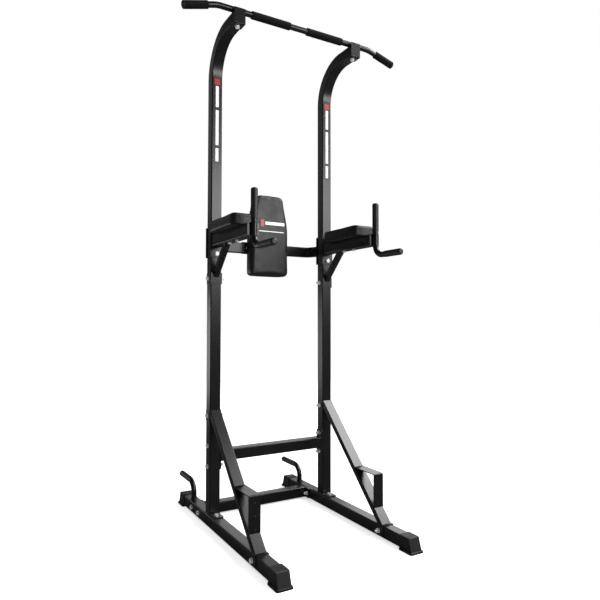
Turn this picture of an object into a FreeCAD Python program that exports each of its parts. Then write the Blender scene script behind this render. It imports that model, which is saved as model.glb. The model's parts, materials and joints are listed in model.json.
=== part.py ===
import FreeCAD, Part
import math
import os
import re
import Sketcher

# Free-standing power tower: two bent square-tube uprights on two floor rails, a
# pull-up bar across the top, padded dip arms with handles, a backrest, front
# braces with step plates and a pair of push-up handles.
# Frame: millimetres, +Z up, the user stands on the -Y side and looks along +Y,
# origin on the floor under the middle of the whole tower.
# Inside a sub-part, y = 0 is the middle plane of the uprights and z = 0 the floor;
# side pieces also have x = 0 in the middle of their own upright.

doc = FreeCAD.newDocument("PowerTower")
sheet = doc.addObject("Spreadsheet::Sheet", "Dimensions")

dimensions = [
    # where the two side frames stand
    ("uprightX", 295), ("uprightY", 124),
    # square tube stock and plate stock
    ("tubeWide", 50), ("tubeDeep", 50), ("tubeWall", 2), ("tubeCorner", 4),
    ("plate", 5), ("thinPlate", 3), ("thinEdge", 2.5), ("fitGap", 0.3),
    # floor rails, measured forwards and backwards from the uprights
    ("railBottom", 6), ("railFront", 651), ("railRear", 368),
    # rubber boots on the rail ends
    ("bootFront", 680), ("bootRear", 394), ("bootLong", 78), ("bootSlope", 22),
    ("bootSkin", 3), ("lipOut", 5.5), ("lipHigh", 9), ("bootRound", 4),
    # rear tube between the rails
    ("crossY", 159.5), ("flangeLong", 120), ("flangeBolt", 44.5),
    # tube between the uprights
    ("beamZ", 314), ("beamFlange", 120), ("beamBolt", 45.5),
    # foot plates of the uprights
    ("footLong", 140), ("footBolt", 47),
    # uprights
    ("spliceZ", 1267), ("spliceGap", 1), ("sleeveBottom", 1150), ("sleeveTop", 1382),
    ("bendRadius", 170), ("topZ", 2180), ("topReach", 272.5),
    # front braces at 45 degrees and their U-shaped ends
    ("braceRise", 547.5), ("braceDeep", 25), ("clevisZ", 494), ("clevisHigh", 48),
    ("clevisRear", 18), ("saddleY", 470), ("saddleLong", 60), ("saddleBottom", 12),
    # step plates
    ("stepTop", 256), ("stepFront", 435), ("stepPlate", 4), ("studZ", 172),
    ("studPitch", 50), ("studWide", 12), ("studHigh", 1.6),
    # dip arms and their struts
    ("armBottom", 1248), ("armShort", 8), ("armPlateWide", 59), ("armPlateBottom", 1199),
    ("armPlateTop", 1336), ("armBoltLow", 1215), ("armBoltHigh", 1318), ("strutRise", 1082),
    ("strutDeep", 25), ("strutWall", 1.5), ("strutBoltZ", 1106), ("strutFootHigh", 50),
    # armrests
    ("armPadWide", 120), ("armPadLong", 268), ("armPadY", 212), ("armPadTop", 1348),
    ("armBoard", 12), ("padWrap", 5), ("armPadRound", 24), ("armPadEdge", 9),
    ("armBoltNear", 178), ("armBoltFar", 258), ("padLift", 1), ("insertCover", 1),
    # handles at the front of the arms
    ("barTube", 25), ("barWall", 2), ("handleY", 420), ("handleTop", 1428), ("dipZ", 1204),
    ("handleBend", 45), ("dipReach", 586), ("sleeveTube", 28), ("gripBottom", 1312),
    ("dipGripStart", 485), ("gripEnd", 6), ("gripRound", 7),
    # backrest
    ("barBackY", 97.5), ("backBarDeep", 25), ("backBarZ", 1266.5), ("backBendX", 254.6),
    ("backTurn", 69), ("backEnd", 83), ("backBendRadius", 30), ("channelHalf", 118),
    ("channelPlate", 4), ("channelLip", 15), ("backPadFront", 20), ("backPadRear", 80),
    ("backBoard", 15), ("backPadEdge", 10),
    ("backHalfLow", 100), ("backHalfHigh", 70), ("backBottom", 1130), ("backTaper", 1368),
    ("backTop", 1520), ("backRound", 22), ("backBoltIn", 45), ("backBoltOut", 95),
    # pull-up bar
    ("barY", 248), ("barZ", 2217.5), ("pullWall", 2.5), ("barBendX", 386), ("barDroop", 16),
    ("barSlope", 147.5), ("barBendRadius", 120), ("foamTube", 33), ("foamRound", 1.5), ("innerGripIn", 43),
    ("innerGripOut", 230), ("outerGripIn", 43), ("capThick", 5), ("capPlug", 15), ("bracketRear", 228),
    # push-up handles on the rails
    ("pushY", 246), ("pushZ", 134), ("pushBend", 55), ("pushReach", 426), ("collarWide", 31),
    # bolts: M10 in the frame, M8 in the boards
    ("boltHole", 10.6), ("padHole", 8.6), ("insertHole", 11.2), ("insertWide", 11),
    ("insertLong", 10), ("insertHide", 0.5),
]
aliases = [name for name, value in dimensions]
for row, (name, value) in enumerate(dimensions, start=1):
    sheet.set(f"A{row}", name)
    sheet.set(f"B{row}", str(value))
    sheet.setAlias(f"B{row}", name)
doc.recompute()

nodes = []


def number(expression):
    """Value of an expression written with the sheet's aliases."""
    return float(sheet.evalExpression(expression))


def inSheet(expression):
    """The same expression, with each alias pointing at the sheet."""
    return re.sub(r"[A-Za-z]\w*", lambda word: "Dimensions." + word.group()
                  if word.group() in aliases else word.group(), expression)


def bind(target, path, expression):
    target.setExpression(path, inSheet(expression))


# ---------------------------------------------------------------- sketches

def newSketch(body, role, along="0"):
    """A sketch on one of the body's own planes, moved along the plane's axis."""
    sketch = body.newObject("Sketcher::SketchObject", body.Name + "Sketch")
    plane = [item for item in body.Origin.OriginFeatures if item.Role == role][0]
    sketch.AttachmentSupport = [(plane, "")]
    sketch.MapMode = "FlatFace"
    # the XZ plane looks towards -Y, so its offset runs the other way
    bind(sketch, "AttachmentOffset.Base.z", f"-({along})" if role == "XZ_Plane" else along)
    return sketch


def place(sketch, geometry, point, x, y):
    """Fixes a point of a sketch at (x, y), both given as expressions."""
    for kind, expression in (("DistanceX", x), ("DistanceY", y)):
        index = sketch.addConstraint(
            Sketcher.Constraint(kind, -1, 1, geometry, point, number(expression)))
        bind(sketch, f"Constraints[{index}]", expression)


def bindDatum(sketch, constraint, expression):
    index = sketch.addConstraint(constraint)
    bind(sketch, f"Constraints[{index}]", expression)


def addPolygon(sketch, corners):
    """Closed outline through corners, each a pair of expressions."""
    points = [FreeCAD.Vector(number(x), number(y), 0) for x, y in corners]
    first = sketch.GeometryCount
    count = len(points)
    for index in range(count):
        sketch.addGeometry(Part.LineSegment(points[index], points[(index + 1) % count]), False)
    for index in range(count):
        following = first + (index + 1) % count
        sketch.addConstraint(Sketcher.Constraint("Coincident", first + index, 2, following, 1))
        place(sketch, first + index, 1, *corners[index])


def addRectangle(sketch, centre, size, radius):
    """Rectangle with rounded corners; centre, size and radius are expressions."""
    wide, high, corner = number(size[0]) / 2, number(size[1]) / 2, number(radius)
    middle = FreeCAD.Vector(number(centre[0]), number(centre[1]), 0)
    first = sketch.GeometryCount
    corners = [(-1, -1), (1, -1), (1, 1), (-1, 1)]
    ends = []
    for x, y in corners:
        arcCentre = middle + FreeCAD.Vector(x * (wide - corner), y * (high - corner), 0)
        start = math.atan2(y, x) - math.pi / 4
        circle = Part.Circle(arcCentre, FreeCAD.Vector(0, 0, 1), corner)
        sketch.addGeometry(Part.ArcOfCircle(circle, start, start + math.pi / 2), False)
        ends.append([arcCentre + FreeCAD.Vector(math.cos(a), math.sin(a), 0) * corner
                     for a in (start, start + math.pi / 2)])
    for index in range(4):
        sketch.addGeometry(Part.LineSegment(ends[index][1], ends[(index + 1) % 4][0]), False)
    for index in range(4):
        arc, line, nextArc = first + index, first + 4 + index, first + (index + 1) % 4
        sketch.addConstraint(Sketcher.Constraint("Tangent", arc, 2, line, 1))
        sketch.addConstraint(Sketcher.Constraint("Tangent", line, 2, nextArc, 1))
    for index in range(1, 4):
        sketch.addConstraint(Sketcher.Constraint("Equal", first, first + index))
    bindDatum(sketch, Sketcher.Constraint("Radius", first, corner), radius)
    for index, signs in enumerate(corners):
        place(sketch, first + index, 3,
              *[f"{centre[axis]} + ({signs[axis]})*(({size[axis]})/2 - ({radius}))"
                for axis in (0, 1)])


def addCircles(sketch, centres, diameter):
    for x, y in centres:
        centre = FreeCAD.Vector(number(x), number(y), 0)
        circle = Part.Circle(centre, FreeCAD.Vector(0, 0, 1), number(diameter) / 2)
        index = sketch.addGeometry(circle, False)
        place(sketch, index, 3, x, y)
        bindDatum(sketch, Sketcher.Constraint("Diameter", index, number(diameter)), diameter)


def addSpine(sketch, start, corner, direction, inward, turn, radius, runOut):
    """A straight run to a corner, an arc that turns it inwards, and a second run.

    direction and inward are unit steps along the sketch's axes; turn is in degrees
    and runOut is the length from the corner to the end.
    """
    reach = f"{radius}*tan({turn}/2*1deg)"
    near, centre, far, end, heading = [], [], [], [], []
    for axis in (0, 1):
        near.append(f"{corner[axis]} - ({direction[axis]})*{reach}")
        centre.append(f"{near[axis]} + ({inward[axis]})*{radius}")
        heading.append(f"(({direction[axis]})*cos({turn}*1deg)"
                       f" + ({inward[axis]})*sin({turn}*1deg))")
        far.append(f"{corner[axis]} + {reach}*{heading[axis]}")
        end.append(f"{corner[axis]} + ({runOut})*{heading[axis]}")
    points = [FreeCAD.Vector(number(x), number(y), 0) for x, y in
              (start, near, centre, far, end)]
    turnsLeft = direction[0] * inward[1] - direction[1] * inward[0] > 0
    nearEnd = 1 if turnsLeft else 2
    first, last = (points[1], points[3]) if turnsLeft else (points[3], points[1])
    angles = [math.atan2(point.y - points[2].y, point.x - points[2].x) for point in (first, last)]
    if angles[1] < angles[0]:
        angles[1] += 2 * math.pi
    circle = Part.Circle(points[2], FreeCAD.Vector(0, 0, 1), number(radius))
    sketch.addGeometry(Part.LineSegment(points[0], points[1]), False)
    sketch.addGeometry(Part.ArcOfCircle(circle, *angles), False)
    sketch.addGeometry(Part.LineSegment(points[3], points[4]), False)
    sketch.addConstraint(Sketcher.Constraint("Coincident", 0, 2, 1, nearEnd))
    sketch.addConstraint(Sketcher.Constraint("Coincident", 1, 3 - nearEnd, 2, 1))
    place(sketch, 0, 1, *start)
    place(sketch, 0, 2, *near)
    place(sketch, 1, 3, *centre)
    place(sketch, 2, 2, *end)
    axis = 0 if abs(number(heading[0])) > abs(number(heading[1])) else 1
    kind = ("DistanceX", "DistanceY")[axis]
    bindDatum(sketch, Sketcher.Constraint(kind, -1, 1, 2, 1, number(far[axis])), far[axis])


# ---------------------------------------------------------------- features

def newBody(label, x="0", y="uprightY"):
    body = doc.addObject("PartDesign::Body", label)
    body.Label = label
    bind(body, "Placement.Base.x", x)
    bind(body, "Placement.Base.y", y)
    nodes.append(body)
    return body


def pad(body, sketch, length):
    """Adds material both ways from the sketch's plane, length in all."""
    feature = body.newObject("PartDesign::Pad", body.Name + "Pad")
    feature.Profile = sketch
    feature.SideType = "Symmetric"
    bind(feature, "Length", length)
    doc.recompute()
    return feature


def pocket(body, sketch, length=None):
    """Cuts both ways from the sketch's plane, right through if no length is given."""
    before = body.Shape.Volume
    feature = body.newObject("PartDesign::Pocket", body.Name + "Pocket")
    feature.Profile = sketch
    feature.SideType = "Symmetric"
    if length is None:
        feature.Type = "ThroughAll"
    else:
        bind(feature, "Length", length)
    doc.recompute()
    if not body.Shape.Volume < before - 1:
        raise RuntimeError(f"{feature.Name} cuts nothing")
    return feature


def fillet(body, radius, chosen):
    """Rounds every edge of the body's last feature that chosen(edge) accepts."""
    base = body.Tip
    names = [f"Edge{i}" for i, edge in enumerate(base.Shape.Edges, start=1) if chosen(edge)]
    if not names:
        raise RuntimeError(f"{body.Label}: no edge to round")
    feature = body.newObject("PartDesign::Fillet", body.Name + "Fillet")
    feature.Base = (base, names)
    bind(feature, "Radius", radius)
    doc.recompute()


def sweep(body, profile, spine):
    feature = body.newObject("PartDesign::AdditivePipe", body.Name + "Pipe")
    feature.Profile = profile
    feature.Spine = spine
    doc.recompute()
    return feature


def mirrorX(body, feature):
    """Mirrors one feature to the other side of the body's YZ plane."""
    mirrored = body.newObject("PartDesign::Mirrored", body.Name + "Mirrored")
    mirrored.Originals = [feature]
    plane = [item for item in body.Origin.OriginFeatures if item.Role == "YZ_Plane"][0]
    mirrored.MirrorPlane = (plane, [""])
    body.Tip = mirrored
    doc.recompute()


def slab(body, role, along, thickness, corners):
    sketch = newSketch(body, role, along)
    addPolygon(sketch, corners)
    return pad(body, sketch, thickness)


def roundedSlab(body, role, along, thickness, centre, size, radius):
    sketch = newSketch(body, role, along)
    addRectangle(sketch, centre, size, radius)
    return pad(body, sketch, thickness)


def squareTube(body, role, along, length, centre, size, wall="tubeWall", corner="tubeCorner"):
    """Hollow rectangular section with rounded corners."""
    sketch = newSketch(body, role, along)
    addSection(sketch, centre, size, wall, corner)
    return pad(body, sketch, length)


def addSection(sketch, centre, size, wall="tubeWall", corner="tubeCorner"):
    addRectangle(sketch, centre, size, corner)
    inner = [f"{side} - 2*{wall}" for side in size]
    addRectangle(sketch, centre, inner, f"{corner} - {wall}")


def disc(body, role, along, length, centre, diameter):
    sketch = newSketch(body, role, along)
    addCircles(sketch, [centre], diameter)
    return pad(body, sketch, length)


def drill(body, role, centres, diameter, along="0", length=None):
    sketch = newSketch(body, role, along)
    addCircles(sketch, centres, diameter)
    return pocket(body, sketch, length)


def runsAlong(edge, axis):
    """True for a straight edge parallel to an axis: 0 for X, 1 for Y, 2 for Z."""
    if edge.Curve.TypeId != "Part::GeomLine":
        return False
    direction = edge.tangentAt(edge.FirstParameter)
    return abs(abs(direction[axis]) - 1) < 1e-6


def near(value, expression):
    return abs(value - number(expression)) < 0.01


# ------------------------------------------------------------- base frame

railTop = "railBottom + tubeDeep"
railMiddle = "railBottom + tubeDeep/2"


def makeRail(label, x):
    """Floor rail, drilled for the brace, the rear tube and the upright's foot."""
    body = newBody(label, x)
    squareTube(body, "XZ_Plane", "(railRear - railFront)/2", "railRear + railFront",
               ("0", railMiddle), ("tubeWide", "tubeDeep"))
    drill(body, "YZ_Plane", [("-saddleY", railMiddle), ("crossY - flangeBolt", railMiddle),
                             ("crossY + flangeBolt", railMiddle)], "boltHole")
    drill(body, "XY_Plane", [("0", "-footBolt"), ("0", "footBolt")], "boltHole",
          railTop, "4*tubeWall")


def makeBoot(label, x, end, turned):
    """Rubber boot: open towards +y of its own frame, outer tip at its origin."""
    body = newBody(label, x, f"uprightY + ({end})")
    if turned:
        body.Placement.Rotation = FreeCAD.Rotation(FreeCAD.Vector(0, 0, 1), 180)
    top = railTop + " + bootSkin"
    roundedSlab(body, "XY_Plane", "lipHigh/2", "lipHigh", ("0", "bootLong/2"),
                ("tubeWide + 2*bootSkin + 2*lipOut", "bootLong"), "bootRound*2")
    fillet(body, "bootSkin", lambda edge: near(edge.CenterOfMass.z, "lipHigh"))
    slab(body, "YZ_Plane", "0", "tubeWide + 2*bootSkin",
         [("2*bootSkin", "0"), ("bootLong", "0"), ("bootLong", top), ("bootSlope", top),
          ("2*bootSkin", "lipHigh")])
    fillet(body, "bootRound", lambda edge: runsAlong(edge, 0) and
           near(edge.CenterOfMass.y, "bootSlope"))
    fillet(body, "bootSkin", lambda edge: runsAlong(edge, 1) and near(edge.CenterOfMass.z, top))
    recess = newSketch(body, "XZ_Plane", "bootLong")
    addRectangle(recess, ("0", railMiddle), ("tubeWide + 2*fitGap", "tubeDeep + 2*fitGap"),
                 "tubeCorner")
    pocket(body, recess, "2*(bootLong - bootSlope - bootSkin)")


def makeRearTube():
    """Tube across the rear with a bolted flange at each rail."""
    body = newBody("rear_cross_tube")
    squareTube(body, "YZ_Plane", "0", "2*(uprightX - tubeWide/2 - plate/2)",
               ("crossY", railMiddle), ("tubeDeep", "tubeWide"))
    for sign in ("-", ""):
        roundedSlab(body, "YZ_Plane", f"{sign}(uprightX - tubeWide/2 - plate/2)", "plate",
                    ("crossY", railMiddle), ("flangeLong", "tubeDeep - 2"), "tubeCorner")
    drill(body, "YZ_Plane", [("crossY - flangeBolt", railMiddle),
                             ("crossY + flangeBolt", railMiddle)], "boltHole")


def makeCrossbeam():
    """Tube between the uprights, its flanges bolted to their inner faces."""
    body = newBody("mid_crossbeam")
    squareTube(body, "YZ_Plane", "0", "2*(uprightX - tubeWide/2 - plate/2)",
               ("0", "beamZ"), ("tubeDeep", "tubeWide"))
    for sign in ("-", ""):
        roundedSlab(body, "YZ_Plane", f"{sign}(uprightX - tubeWide/2 - plate/2)", "plate",
                    ("0", "beamZ"), ("tubeDeep", "beamFlange"), "tubeCorner")
    drill(body, "YZ_Plane", [("0", "beamZ - beamBolt"), ("0", "beamZ + beamBolt")], "boltHole")


# ---------------------------------------------------------------- uprights

def makeLowerUpright(label, x):
    """Lower upright with the foot plate welded under it."""
    body = newBody(label, x)
    foot = railTop + " + plate"
    squareTube(body, "XY_Plane", f"({foot} + spliceZ)/2", f"spliceZ - ({foot})",
               ("0", "0"), ("tubeWide", "tubeDeep"))
    roundedSlab(body, "XY_Plane", f"{foot} - plate/2", "plate", ("0", "0"),
                ("tubeWide", "footLong"), "tubeCorner")
    drill(body, "YZ_Plane", [("0", height) for height in
                             ("beamZ - beamBolt", "beamZ + beamBolt", "clevisZ", "strutBoltZ")],
          "boltHole")
    drill(body, "XZ_Plane", [("0", "armBoltLow")], "boltHole")
    drill(body, "XY_Plane", [("0", "-footBolt"), ("0", "footBolt")], "boltHole",
          f"{foot} - plate/2", "plate + 2")


def makeUpperUpright(label, x):
    """Upper upright, bent forwards at the top to carry the pull-up bar."""
    body = newBody(label, x)
    start = "spliceZ + spliceGap"
    section = newSketch(body, "XY_Plane", start)
    addSection(section, ("0", "0"), ("tubeWide", "tubeDeep"))
    path = newSketch(body, "YZ_Plane")
    addSpine(path, ("0", start), ("0", "topZ"), (0, 1), (-1, 0), "90", "bendRadius", "topReach")
    sweep(body, section, path)
    drill(body, "XZ_Plane", [("0", "armBoltHigh")], "boltHole")
    drill(body, "XY_Plane", [("0", "-barY")], "boltHole", "topZ", "2*tubeDeep")


def makeSleeve(label, x):
    """Inner sleeve that joins the two lengths of an upright."""
    body = newBody(label, x)
    inner = "2*tubeWall - 2*fitGap"
    squareTube(body, "XY_Plane", "(sleeveBottom + sleeveTop)/2", "sleeveTop - sleeveBottom",
               ("0", "0"), (f"tubeWide - {inner}", f"tubeDeep - {inner}"), corner="tubeCorner - 1")
    drill(body, "XZ_Plane", [("0", "armBoltLow"), ("0", "armBoltHigh")], "boltHole")


# ---------------------------------------------------- braces and step plates

rootTwo = "sqrt(2)"


def makeBrace(label, x):
    """Flat tube at 45 degrees with a clevis on the upright and a saddle on the rail."""
    body = newBody(label, x)
    face = "-(tubeDeep/2 + thinPlate)"
    foot = railTop + " + thinPlate"
    back = f"(braceRise - braceDeep*{rootTwo})"
    slab(body, "YZ_Plane", "0", "tubeWide",
         [(face, f"braceRise + {face}"), (face, f"{back} + {face}"),
          (f"{foot} - {back}", foot), (f"{foot} - braceRise", foot)])
    fillet(body, "thinPlate", lambda edge: edge.Length > 400)
    wall = f"tubeWall*{rootTwo}"
    bore = newSketch(body, "YZ_Plane")
    addPolygon(bore, [(face, f"braceRise - {wall} + {face}"), (face, f"{back} + {wall} + {face}"),
                      (f"{foot} - {back} - {wall}", foot),
                      (f"{foot} - braceRise + {wall}", foot)])
    pocket(body, bore, "tubeWide - 2*tubeWall")
    addClevis(body, "clevisZ", "clevisHigh")
    outer, inner = "tubeWide/2 + thinPlate", "tubeWide/2"
    slab(body, "XZ_Plane", "-saddleY", "saddleLong",
         [(f"-({outer})", "saddleBottom"), (f"-({inner})", "saddleBottom"),
          (f"-({inner})", railTop), (inner, railTop), (inner, "saddleBottom"),
          (outer, "saddleBottom"), (outer, foot), (f"-({outer})", foot)])
    fillet(body, "thinEdge", lambda edge: runsAlong(edge, 1) and
           near(abs(edge.CenterOfMass.x), outer) and near(edge.CenterOfMass.z, foot))
    drill(body, "YZ_Plane", [("-saddleY", railMiddle), ("0", "clevisZ")], "boltHole")


def addClevis(body, height, high):
    """U-shaped plate that straddles an upright from the front."""
    outer, inner = "tubeWide/2 + thinPlate", "tubeWide/2"
    front, web = "-(tubeDeep/2 + thinPlate)", "-tubeDeep/2"
    slab(body, "XY_Plane", height, high,
         [(f"-({outer})", front), (outer, front), (outer, "clevisRear"), (inner, "clevisRear"),
          (inner, web), (f"-({inner})", web), (f"-({inner})", "clevisRear"),
          (f"-({outer})", "clevisRear")])
    fillet(body, "thinEdge", lambda edge: runsAlong(edge, 2) and
           near(abs(edge.CenterOfMass.x), outer) and near(edge.CenterOfMass.y, front))


def makeStep(label, x):
    """Bent step plate with three studs, welded by both ends to the front of the brace."""
    body = newBody(label, x)
    slab(body, "YZ_Plane", "0", "tubeWide",
         [("stepTop - braceRise", "stepTop"), ("-stepFront", "stepTop"),
          ("-stepFront", "braceRise - stepFront"),
          ("-stepFront + stepPlate", "braceRise - stepFront + stepPlate"),
          ("-stepFront + stepPlate", "stepTop - stepPlate"),
          ("stepTop - stepPlate - braceRise", "stepTop - stepPlate")])
    fillet(body, "stepPlate + 1", lambda edge: runsAlong(edge, 0) and
           near(edge.CenterOfMass.y, "-stepFront") and near(edge.CenterOfMass.z, "stepTop"))
    for step in (-1, 0, 1):
        disc(body, "XZ_Plane", "-stepFront", "2*studHigh", ("0", f"studZ + {step}*studPitch"),
             "studWide")
    fillet(body, "studHigh - fitGap", lambda edge: near(edge.CenterOfMass.y,
                                                        "-(stepFront + studHigh)"))


# ---------------------------------------------------------------- dip arms

armMiddle = "armBottom + tubeDeep/2"
armTop = "armBottom + tubeDeep"


def makeArm(label, x):
    """Dip arm: tube, bolting plate, and a front end coped round the handle."""
    body = newBody(label, x)
    plateFront = "tubeDeep/2 + plate"
    armEnd = "(handleY - armShort)"
    squareTube(body, "XZ_Plane", f"-({armEnd} + {plateFront})/2", f"{armEnd} - ({plateFront})",
               ("0", armMiddle), ("tubeWide", "tubeDeep"))
    roundedSlab(body, "XZ_Plane", f"-{armEnd} + thinPlate/2", "thinPlate", ("0", armMiddle),
                ("tubeWide", "tubeDeep"), "tubeCorner")
    roundedSlab(body, "XZ_Plane", "-(tubeDeep + plate)/2", "plate",
                ("0", "(armPlateBottom + armPlateTop)/2"),
                ("armPlateWide", "armPlateTop - armPlateBottom"), "tubeCorner")
    drill(body, "XZ_Plane", [("0", "armBoltLow"), ("0", "armBoltHigh")], "boltHole",
          "-(tubeDeep + plate)/2", "3*plate")
    drill(body, "XY_Plane", [("0", "-handleY")], "barTube + fitGap")
    drill(body, "XY_Plane", [("0", "-armBoltNear"), ("0", "-armBoltFar")], "padHole")


def makeStrut(label, x):
    """Diagonal strut under the arm, with a U-shaped foot on the upright."""
    body = newBody(label, x)
    face = "-(tubeDeep/2 + thinPlate)"
    rear = f"(strutRise + strutDeep*{rootTwo})"
    slab(body, "YZ_Plane", "0", "strutDeep",
         [(face, f"strutRise - {face}"), ("strutRise - armBottom", "armBottom"),
          (f"{rear} - armBottom", "armBottom"), (face, f"{rear} - {face}")])
    fillet(body, "thinPlate", lambda edge: edge.Length > 120)
    wall = f"strutWall*{rootTwo}"
    bore = newSketch(body, "YZ_Plane")
    addPolygon(bore, [(face, f"strutRise + {wall} - {face}"),
                      (f"strutRise + {wall} - armBottom", "armBottom"),
                      (f"{rear} - {wall} - armBottom", "armBottom"),
                      (face, f"{rear} - {wall} - {face}")])
    pocket(body, bore, "strutDeep - 2*strutWall")
    addClevis(body, "strutBoltZ", "strutFootHigh")
    drill(body, "YZ_Plane", [("0", "strutBoltZ")], "boltHole")


def makeArmrest(side, x):
    """Plywood board and the padded cover that wraps its edges."""
    body = newBody(f"armrest_board_{side}", x)
    size = ("armPadWide - 2*padWrap", "armPadLong - 2*padWrap")
    roundedSlab(body, "XY_Plane", f"{armTop} + armBoard/2", "armBoard", ("0", "-armPadY"), size,
                "armPadRound - padWrap")
    drill(body, "XY_Plane", [("0", "-armBoltNear"), ("0", "-armBoltFar")], "insertHole",
          armTop, "2*(armBoard - insertCover)")

    body = newBody(f"armrest_pad_{side}", x)
    bottom = armTop + " + padLift"
    roundedSlab(body, "XY_Plane", f"({bottom} + armPadTop)/2", f"armPadTop - ({bottom})",
                ("0", "-armPadY"), ("armPadWide", "armPadLong"), "armPadRound")
    fillet(body, "armPadEdge", lambda edge: near(edge.CenterOfMass.z, "armPadTop"))
    recess = newSketch(body, "XY_Plane", armTop)
    addRectangle(recess, ("0", "-armPadY"), [f"{part} + 2*fitGap" for part in size],
                 "armPadRound - padWrap")
    pocket(body, recess, "2*(armBoard + fitGap)")


def makeHandle(side, x):
    """Bent handle tube with a closed rubber grip on each end."""
    body = newBody(f"dip_handle_{side}", x)
    section = newSketch(body, "XY_Plane", "handleTop")
    addCircles(section, [("0", "-handleY")], "barTube")
    addCircles(section, [("0", "-handleY")], "barTube - 2*barWall")
    path = newSketch(body, "YZ_Plane")
    addSpine(path, ("-handleY", "handleTop"), ("-handleY", "dipZ"), (0, -1), (-1, 0), "90",
             "handleBend", "dipReach - handleY")
    sweep(body, section, path)

    body = newBody(f"upright_grip_{side}", x)
    top = "handleTop + gripEnd"
    closedGrip(body, "XY_Plane", ("0", "-handleY"), "gripBottom", top, 1)
    body = newBody(f"dip_grip_{side}", x)
    closedGrip(body, "XZ_Plane", ("0", "dipZ"), "-dipGripStart", "-(dipReach + gripEnd)", -1)


def closedGrip(body, role, centre, mouth, tip, direction):
    """Rubber sleeve with a domed closed end, from its mouth to its tip."""
    axis = 2 if role == "XY_Plane" else 1
    disc(body, role, f"({mouth} + {tip})/2", f"{'' if direction > 0 else '-'}({tip} - ({mouth}))",
         centre, "sleeveTube")
    fillet(body, "gripRound", lambda edge: near(edge.CenterOfMass[axis], tip))
    bore = newSketch(body, role, mouth)
    addCircles(bore, [centre], "barTube + fitGap")
    length = f"{'' if direction > 0 else '-'}({tip} - ({mouth})) - gripEnd + fitGap"
    pocket(body, bore, f"2*({length})")


# ---------------------------------------------------------------- backrest

def makeBackrestBar():
    """Flat tube behind the uprights with bent ends and bolting plates."""
    body = newBody("backrest_bar")
    section = newSketch(body, "YZ_Plane")
    addSection(section, ("barBackY", "backBarZ"), ("backBarDeep", "tubeDeep"))
    path = newSketch(body, "XY_Plane", "backBarZ")
    addSpine(path, ("0", "barBackY"), ("backBendX", "barBackY"), (1, 0), (0, -1), "backTurn",
             "backBendRadius", "backEnd")
    half = sweep(body, section, path)
    mirrorX(body, half)
    plateRear = "tubeDeep/2 + plate"
    trim = newSketch(body, "XZ_Plane", "0")
    addRectangle(trim, ("0", "backBarZ"), ("3*uprightX", "2*tubeDeep"), "tubeCorner")
    pocket(body, trim, f"2*({plateRear})")
    middle = "(armPlateBottom + armPlateTop)/2"
    for sign in ("-", ""):
        roundedSlab(body, "XZ_Plane", "(tubeDeep + plate)/2", "plate",
                    (f"{sign}uprightX", middle),
                    ("armPlateWide", "armPlateTop - armPlateBottom"), "tubeCorner")
    drill(body, "XZ_Plane", [(f"{sign}uprightX", height) for sign in ("-", "")
                             for height in ("armBoltLow", "armBoltHigh")], "boltHole")
    drill(body, "XZ_Plane", backBolts(), "padHole")


def backBolts():
    return [(f"{sign}{offset}", "backBarZ") for sign in ("-", "")
            for offset in ("backBoltIn", "backBoltOut")]


def makeBackrestChannel():
    """Channel plate between the bar and the backrest board."""
    body = newBody("backrest_channel")
    front = "barBackY - backBarDeep/2 - channelPlate"
    web = "barBackY - backBarDeep/2"
    low, high = "backBarZ - tubeDeep/2", "backBarZ + tubeDeep/2"
    slab(body, "YZ_Plane", "0", "2*channelHalf",
         [(front, f"{low} - thinPlate"), (f"{web} + channelLip", f"{low} - thinPlate"),
          (f"{web} + channelLip", low), (web, low), (web, high), (f"{web} + channelLip", high),
          (f"{web} + channelLip", f"{high} + thinPlate"), (front, f"{high} + thinPlate")])
    drill(body, "XZ_Plane", backBolts(), "padHole")


def backOutline(inset):
    """Backrest outline seen from the front, inset on every side."""
    low, high = f"backHalfLow - {inset}", f"backHalfHigh - {inset}"
    bottom, top = f"backBottom + {inset}", f"backTop - {inset}"
    return [(f"-({low})", bottom), (low, bottom), (low, "backTaper"), (high, top),
            (f"-({high})", top), (f"-({low})", "backTaper")]


def roundBackCorners(body, inset):
    """Rounds the outline's corners; the two where the taper starts stay wide."""
    fillet(body, f"backRound - {inset}", lambda edge: runsAlong(edge, 1) and
           not near(edge.CenterOfMass.z, "backTaper"))
    fillet(body, "4*backRound", lambda edge: runsAlong(edge, 1) and
           near(edge.CenterOfMass.z, "backTaper"))


def makeBackrest():
    boardRear = "barBackY - backBarDeep/2 - channelPlate"
    body = newBody("backrest_board")
    slab(body, "XZ_Plane", f"{boardRear} - backBoard/2", "backBoard", backOutline("padWrap"))
    roundBackCorners(body, "padWrap")
    drill(body, "XZ_Plane", backBolts(), "insertHole", boardRear, "2*(backBoard - 2*insertCover)")

    body = newBody("backrest_pad")
    slab(body, "XZ_Plane", "(backPadFront + backPadRear)/2", "backPadRear - backPadFront",
         backOutline("0"))
    roundBackCorners(body, "0")
    fillet(body, "backPadEdge", lambda edge: near(edge.CenterOfMass.y, "backPadFront"))
    recess = newSketch(body, "XZ_Plane", "backPadRear")
    addPolygon(recess, backOutline("padWrap - fitGap"))
    pocket(body, recess, f"2*(backPadRear - ({boardRear} - backBoard) + fitGap)")


# ------------------------------------------------------------- pull-up bar

def makePullupBar():
    """Pull-up bar resting on the uprights, its ends bent down."""
    body = newBody("pullup_bar", y="uprightY - barY")
    section = newSketch(body, "YZ_Plane")
    addCircles(section, [("0", "barZ")], "barTube")
    addCircles(section, [("0", "barZ")], "barTube - 2*pullWall")
    path = newSketch(body, "XZ_Plane")
    addSpine(path, ("0", "barZ"), ("barBendX", "barZ"), (1, 0), (0, -1), "barDroop",
             "barBendRadius", "barSlope")
    mirrorX(body, sweep(body, section, path))
    drill(body, "XY_Plane", [("-uprightX", "0"), ("uprightX", "0")], "boltHole",
          "barZ - barTube/2", "barTube")


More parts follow.
